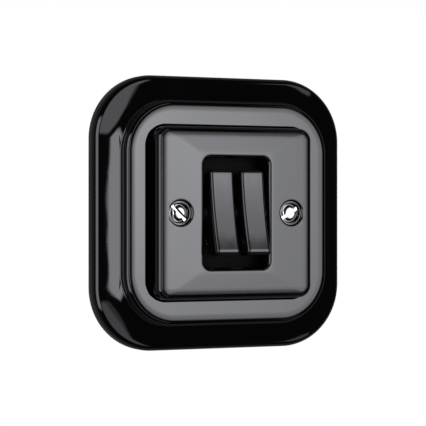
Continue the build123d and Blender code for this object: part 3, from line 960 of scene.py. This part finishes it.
dome = add(
    screw_tree,
    "GeometryNodeCurveArc",
    {
        "Resolution": DOME_STEPS,
        "Start": outline_point(0.0, numbers["Head Top"]),
        "Middle": outline_point(numbers["Dome Middle Radius"], numbers["Dome Middle"]),
        "End": outline_point(head_radius, numbers["Rim"]),
    },
    mode="POINTS",
)
runs = [
    (outline_point(head_radius, numbers["Rim"]), outline_point(head_radius)),
    (outline_point(head_radius), outline_point(shank_radius)),
    (outline_point(shank_radius, numbers["Tip"]), outline_point(0.0, numbers["Tip"])),
]
edges = [
    add(screw_tree, "GeometryNodeCurvePrimitiveLine", {"Start": first, "End": last}) for first, last in runs
]
shank = add(
    screw_tree,
    "GeometryNodeCurvePrimitiveLine",
    {"Start": outline_point(shank_radius), "End": outline_point(shank_radius, numbers["Tip"])},
)
threaded = add(
    screw_tree,
    "GeometryNodeResampleCurve",
    {"Curve": shank.outputs["Curve"], "Count": numbers["Thread Points"]},
)
rolled = add(
    screw_tree,
    "GeometryNodeSetPosition",
    {"Geometry": threaded.outputs["Curve"], "Offset": outline_point(numbers["Groove"])},
)
outline = add(screw_tree, "GeometryNodeJoinGeometry")
for curve in [dome, *edges]:
    screw_tree.links.new(curve.outputs["Curve"], outline.inputs["Geometry"])
screw_tree.links.new(rolled.outputs["Geometry"], outline.inputs["Geometry"])
turning = add(
    screw_tree,
    "GeometryNodeCurvePrimitiveCircle",
    {"Resolution": HEAD_STEPS, "Radius": TURNING_RADIUS * MM},
)
lathe = add(
    screw_tree,
    "GeometryNodeCurveToMesh",
    {"Curve": turning.outputs["Curve"], "Profile Curve": outline.outputs["Geometry"]},
)
welded = add(
    screw_tree,
    "GeometryNodeMergeByDistance",
    {"Geometry": lathe.outputs["Mesh"], "Distance": WELD_DISTANCE * MM},
)
saw_size = add(
    screw_tree,
    "ShaderNodeCombineXYZ",
    {"X": numbers["Saw Length"], "Y": numbers["Slot Width"], "Z": numbers["Saw Height"]},
)
saw = add(screw_tree, "GeometryNodeMeshCube", {"Size": saw_size.outputs[0]})
saw_place = add(screw_tree, "ShaderNodeCombineXYZ", {"Z": numbers["Head Top"]})
raised_saw = add(
    screw_tree,
    "GeometryNodeTransform",
    {"Geometry": saw.outputs["Mesh"], "Translation": saw_place.outputs[0]},
)
slotted = add(
    screw_tree,
    "GeometryNodeMeshBoolean",
    {"Mesh 1": welded.outputs["Geometry"]},
    operation="DIFFERENCE",
)
screw_tree.links.new(raised_saw.outputs["Geometry"], slotted.inputs["Mesh 2"])
aim = add(screw_tree, "GeometryNodeInputNamedAttribute", {"Name": "aim"}, data_type="FLOAT_VECTOR")
screws = add(
    screw_tree,
    "GeometryNodeInstanceOnPoints",
    {
        "Points": sizes["Geometry"],
        "Instance": slotted.outputs["Mesh"],
        "Rotation": aim.outputs["Attribute"],
    },
)
solid = add(screw_tree, "GeometryNodeRealizeInstances", {"Geometry": screws.outputs["Instances"]})
finished = add(
    screw_tree,
    "GeometryNodeSetMaterial",
    {"Geometry": solid.outputs["Geometry"], "Material": sizes["Material"]},
)
add(screw_tree, "NodeGroupOutput", {"Geometry": finished.outputs["Geometry"]})

# Polished nickel: bright plate over turned brass with hardly any colour of its
# own. Hairlines from the polishing wheel are drawn coarse enough to show.
nickel, tree, place = start_material("polished_nickel_plate")
hairs = add(tree, "ShaderNodeMapping", {"Vector": place, "Scale": (1.0, 1.0, 0.08)})
lines = add(tree, "ShaderNodeTexNoise", {"Vector": hairs.outputs[0], "Scale": per(0.15), "Detail": 2.0})
tone = add(
    tree,
    "ShaderNodeMix",
    {0: lines.outputs["Fac"], 6: linear("#E2E0DC"), 7: linear("#F4F3F0")},
    data_type="RGBA",
)
polish = add(tree, "ShaderNodeMapRange", {"Value": lines.outputs["Fac"], "To Min": 0.03, "To Max": 0.08})
end_material(tree, Base_Color=tone.outputs[2], Metallic=1.0, Roughness=polish.outputs[0])

facing = radians(90)
cover_seat = WELL_DEPTH - cover_front
base_low, base_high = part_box("base_screws")
terminal_low, terminal_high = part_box("terminal_screws")
base_across = base_high.x - BASE_HEAD_RADIUS * MM
base_up = base_high.z - BASE_HEAD_RADIUS * MM
base_seat = base_low.y + (PLAIN_RIM + PLAIN_DOME) * MM
terminal_level = (terminal_low.y + terminal_high.y) / 2
terminal_across = terminal_high.x - TERMINAL_HEAD_RADIUS * MM
terminal_seat = terminal_high.z - (PLAIN_RIM + PLAIN_DOME) * MM
screw_rows = {
    "cover_screws": {
        "piece": "slotted_cover_screws",
        "slot": "polished_nickel",
        "material": nickel,
        "places": [(side * SCREW_PLACE * MM, cover_seat * MM, 0) for side in (-1, 1)],
        "aims": [(facing, radians(turn), 0) for turn in COVER_SLOT_TURNS],
        "sizes": {"Head Radius": 3.3, "Rim": 0.7, "Dome": 1.0, "Shank Radius": 1.5, "Shank Length": 14.4},
    },
    "base_screws": {
        "piece": "slotted_base_screws",
        "slot": "zinc_steel",
        "material": zinc_plate,
        "places": [(x * base_across, base_seat, z * base_up) for x in (-1, 1) for z in (-1, 1)],
        "aims": [(facing, 0, 0)] * 4,
        "sizes": {
            "Head Radius": BASE_HEAD_RADIUS,
            "Rim": PLAIN_RIM,
            "Dome": PLAIN_DOME,
            "Shank Radius": PLAIN_SHANK_RADIUS,
            "Shank Length": BASE_SCREW_LENGTH,
        },
    },
    "terminal_screws": {
        "piece": "slotted_terminal_screws",
        "slot": "zinc_steel",
        "material": zinc_plate,
        "places": [
            (0, terminal_level, terminal_seat),
            (-terminal_across, terminal_level, -terminal_seat),
            (terminal_across, terminal_level, -terminal_seat),
        ],
        "aims": [(0, 0, 0), (pi, 0, 0), (pi, 0, 0)],
        "sizes": {
            "Head Radius": TERMINAL_HEAD_RADIUS,
            "Rim": PLAIN_RIM,
            "Dome": PLAIN_DOME,
            "Shank Radius": PLAIN_SHANK_RADIUS,
            "Shank Length": TERMINAL_SCREW_LENGTH,
        },
    },
}
common = {
    "Slot Width": SLOT_WIDTH,
    "Slot Depth": SLOT_DEPTH,
    "Thread Pitch": THREAD_PITCH,
    "Thread Depth": THREAD_DEPTH,
}
for node, row in screw_rows.items():
    values = {name: size * MM for name, size in {**row["sizes"], **common}.items()}
    values["Material"] = row["material"]
    screws = grow(row["piece"], row["places"], screw_tree, values, {"aim": row["aims"]})
    keep_flats(screws)
    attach(screws, "switch_body")
    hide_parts(node)

# Floor: a plain sheet of pale, faintly fibrous paper well below the switch, which
# hangs free above it. The camera sees it nearly white, and it is kept out of what
# the glaze mirrors, so that the lower edges stay dark.
FLOOR_LEVEL = -900.0
FLOOR_RADIUS = 800.0
FLOOR_SIDES = 96
FLOOR_WHITE = 0.8
shape = bmesh.new()
rim = arc((0, 0), FLOOR_RADIUS, 0, 2 * pi, FLOOR_SIDES)[:-1]
shape.faces.new([shape.verts.new(Vector((x, y, FLOOR_LEVEL)) * MM) for x, y in rim])
paper, tree, place = start_material("pale_studio_paper")
fibre = add(tree, "ShaderNodeTexNoise", {"Vector": place, "Scale": per(3.0), "Detail": 3.0})
tone = add(
    tree,
    "ShaderNodeMix",
    {0: fibre.outputs["Fac"], 6: linear("#E6E6E4"), 7: linear("#EDEDEB")},
    data_type="RGBA",
)
sheet = add(tree, "ShaderNodeBsdfDiffuse", {"Color": tone.outputs[2]})
white = add(tree, "ShaderNodeEmission", {"Color": linear("#FFFFFF"), "Strength": 1.0})
ray = add(tree, "ShaderNodeLightPath")
whitened = add(
    tree, "ShaderNodeMath", {0: ray.outputs["Is Camera Ray"], 1: FLOOR_WHITE}, operation="MULTIPLY"
)
mixed = add(
    tree, "ShaderNodeMixShader", {0: whitened.outputs[0], 1: sheet.outputs[0], 2: white.outputs[0]}
)
add(tree, "ShaderNodeOutputMaterial", {"Surface": mixed.outputs[0]})
floor = as_piece(shape, "studio_floor", paper)
floor.visible_glossy = False

# Light: curved diffusers round the switch, in rings about the direction in which
# its flat faces mirror the camera. The round one has two lamps close behind it,
# and the narrow strips draw the lit lines on the frame's rim.
CAMERA_AZIMUTH = -25.15
DIFFUSER_DISTANCE = 1100.0
DIFFUSER_STEPS = 48

# Angles in degrees: "out" from the middle of the rings, "round" them from the
# right. "bow" moves the inner and the outer edge at both ends, and "soft" is the
# width over which the light fades at the inner edge, the outer edge and the ends.
DIFFUSERS = {
    "round_softbox": {
        "out": (0.0, 34.0),
        "round": (-180.0, 180.0),
        "soft": (0.0, 9.0, 0.0),
        "level": 1.2,
        "lamps": [
            {"across": 4.0, "up": 2.0, "spread": 20.0, "level": 0.5},
            {"across": -8.0, "up": 4.0, "spread": 8.5, "level": 1.8},
        ],
    },
    "left_strip": {
        "out": (43.0, 48.1),
        "round": (160.0, 203.0),
        "bow": (0.0, -2.3),
        "soft": (0.5, 0.5, 9.0),
        "level": 2.1,
    },
    "upper_left_strip": {
        "out": (45.9, 53.0),
        "round": (86.0, 172.0),
        "bow": (2.4, 0.0),
        "soft": (0.5, 0.5, 4.0),
        "level": 0.85,
    },
    "lower_left_strip": {
        "out": (46.6, 53.0),
        "round": (197.0, 274.0),
        "bow": (2.0, 0.0),
        "soft": (0.5, 0.5, 4.0),
        "level": 0.55,
    },
    "upper_right_strip": {
        "out": (44.6, 50.0),
        "round": (46.0, 78.0),
        "bow": (1.4, 0.0),
        "soft": (0.5, 0.5, 4.0),
        "level": 0.5,
    },
    "lower_right_strip": {
        "out": (45.0, 50.0),
        "round": (283.0, 312.0),
        "bow": (1.4, 0.0),
        "soft": (0.5, 0.5, 4.0),
        "level": 0.35,
    },
    "far_left_panel": {
        "out": (60.0, 97.0),
        "round": (150.0, 210.0),
        "soft": (5.0, 5.0, 6.0),
        "level": 1.5,
    },
}


def towards(azimuth, elevation):
    """Direction from the switch: 0 degrees is straight in front, and 90 to the right."""
    turn, rise = radians(azimuth), radians(elevation)
    return Vector((sin(turn) * cos(rise), -cos(turn) * cos(rise), sin(rise)))


def fade(distance, width):
    """Share of the light at a distance inside a soft edge of a width."""
    if width == 0:
        return 1.0
    share = min(max(distance / width, 0.0), 1.0)
    return share * share * (3 - 2 * share)


def lamp_light(lamps, across, up):
    """Light that the lamps behind a diffuser add at a place on it."""
    added = 0.0
    for lamp in lamps:
        distance = hypot(across - lamp["across"], up - lamp["up"])
        added += lamp["level"] * exp(-(distance**2) / (2 * lamp["spread"] ** 2))
    return added


middle = towards(-CAMERA_AZIMUTH, 0)
aside = middle.cross(Vector((0, 0, -1)))
for name, light in DIFFUSERS.items():
    shape = bmesh.new()
    glow = shape.verts.layers.float.new("glow")
    start, end = light["round"]
    inner_soft, outer_soft, end_soft = light["soft"]
    rows = []
    for layer in range(DIFFUSER_STEPS + 1):
        vertices = []
        for step in range(DIFFUSER_STEPS + 1):
            turn = start + (end - start) * step / DIFFUSER_STEPS
            bend = (2 * step / DIFFUSER_STEPS - 1) ** 2
            low, high = [edge + bow * bend for edge, bow in zip(light["out"], light.get("bow", (0, 0)))]
            out = low + (high - low) * layer / DIFFUSER_STEPS
            across, up = cos(radians(turn)), sin(radians(turn))
            way = middle * cos(radians(out)) + (aside * across + Vector((0, 0, up))) * sin(radians(out))
            vertex = shape.verts.new(way * DIFFUSER_DISTANCE * MM)
            level = light["level"] + lamp_light(light.get("lamps", ()), out * across, out * up)
            level *= fade(out - low, inner_soft) * fade(high - out, outer_soft)
            vertex[glow] = level * fade(turn - start, end_soft) * fade(end - turn, end_soft)
            vertices.append(vertex)
        rows.append(vertices)
    for row, following in zip(rows, rows[1:]):
        for step in range(DIFFUSER_STEPS):
            shape.faces.new((row[step], row[step + 1], following[step + 1], following[step]))
    cloth, tree, place = start_material(name + "_cloth")
    strength = add(tree, "ShaderNodeAttribute", attribute_name="glow").outputs["Fac"]
    lit = add(tree, "ShaderNodeEmission", {"Color": linear("#F8F9FF"), "Strength": strength})
    add(tree, "ShaderNodeOutputMaterial", {"Surface": lit.outputs[0]})
    diffuser = as_piece(shape, name, cloth)
    diffuser.visible_camera = False
    diffuser.visible_shadow = False

# Surroundings: a white backdrop, which the camera sees all round. What the glaze
# and the metal mirror is a dark room in front of the switch, dim to its sides and
# white straight behind it, and matt faces get an even fill.
ROOM_LEVEL = 0.005
SIDE_LEVEL = 0.08
SIDE_EDGE = (-0.1, 0.15)
BACKDROP_EDGE = (0.93, 0.995)
FILL_LEVEL = 0.8
world = bpy.data.worlds.new("studio")
world.use_nodes = True
bpy.context.scene.world = world
tree = world.node_tree
tree.nodes.clear()
ray = add(tree, "ShaderNodeLightPath").outputs
heading = add(tree, "ShaderNodeTexCoord").outputs["Generated"]
depth = add(tree, "ShaderNodeSeparateXYZ", {"Vector": heading}).outputs["Y"]
sides = add(
    tree,
    "ShaderNodeMapRange",
    {
        "Value": depth,
        "From Min": SIDE_EDGE[0],
        "From Max": SIDE_EDGE[1],
        "To Min": ROOM_LEVEL,
        "To Max": SIDE_LEVEL,
    },
)
backdrop = add(
    tree,
    "ShaderNodeMapRange",
    {
        "Value": depth,
        "From Min": BACKDROP_EDGE[0],
        "From Max": BACKDROP_EDGE[1],
        "To Min": sides.outputs[0],
    },
)
mirrored = add(
    tree,
    "ShaderNodeMath",
    {0: ray["Is Glossy Ray"], 1: ray["Is Transmission Ray"]},
    operation="MAXIMUM",
)
unseen = add(
    tree, "ShaderNodeMix", {"Factor": mirrored.outputs[0], "A": FILL_LEVEL, "B": backdrop.outputs[0]}
)
level = add(tree, "ShaderNodeMix", {"Factor": ray["Is Camera Ray"], "A": unseen.outputs[0], "B": 1.0})
air = add(tree, "ShaderNodeBackground", {"Color": linear("#FFFFFF"), "Strength": level.outputs[0]})
add(tree, "ShaderNodeOutputWorld", {"Surface": air.outputs[0]})
bpy.context.scene.view_settings.view_transform = "Standard"

# Camera: at the height of the switch and to its left, with a long lens, so
# that the frame's left wall and the rockers' left sides are seen.
CAMERA_ELEVATION = 0.0
CAMERA_DISTANCE = 591.1
LENS = 149.7
SIDE_SHIFT = -0.0038
SENSOR = 36.0
lens = bpy.data.cameras.new("camera")
lens.lens = LENS
lens.sensor_width = SENSOR
lens.shift_x = SIDE_SHIFT
camera = bpy.data.objects.new("camera", lens)
bpy.context.scene.collection.objects.link(camera)
viewpoint = towards(CAMERA_AZIMUTH, CAMERA_ELEVATION)
camera.location = viewpoint * CAMERA_DISTANCE * MM
camera.rotation_mode = "QUATERNION"
camera.rotation_quaternion = (-viewpoint).to_track_quat("-Z", "Y")
bpy.context.scene.camera = camera
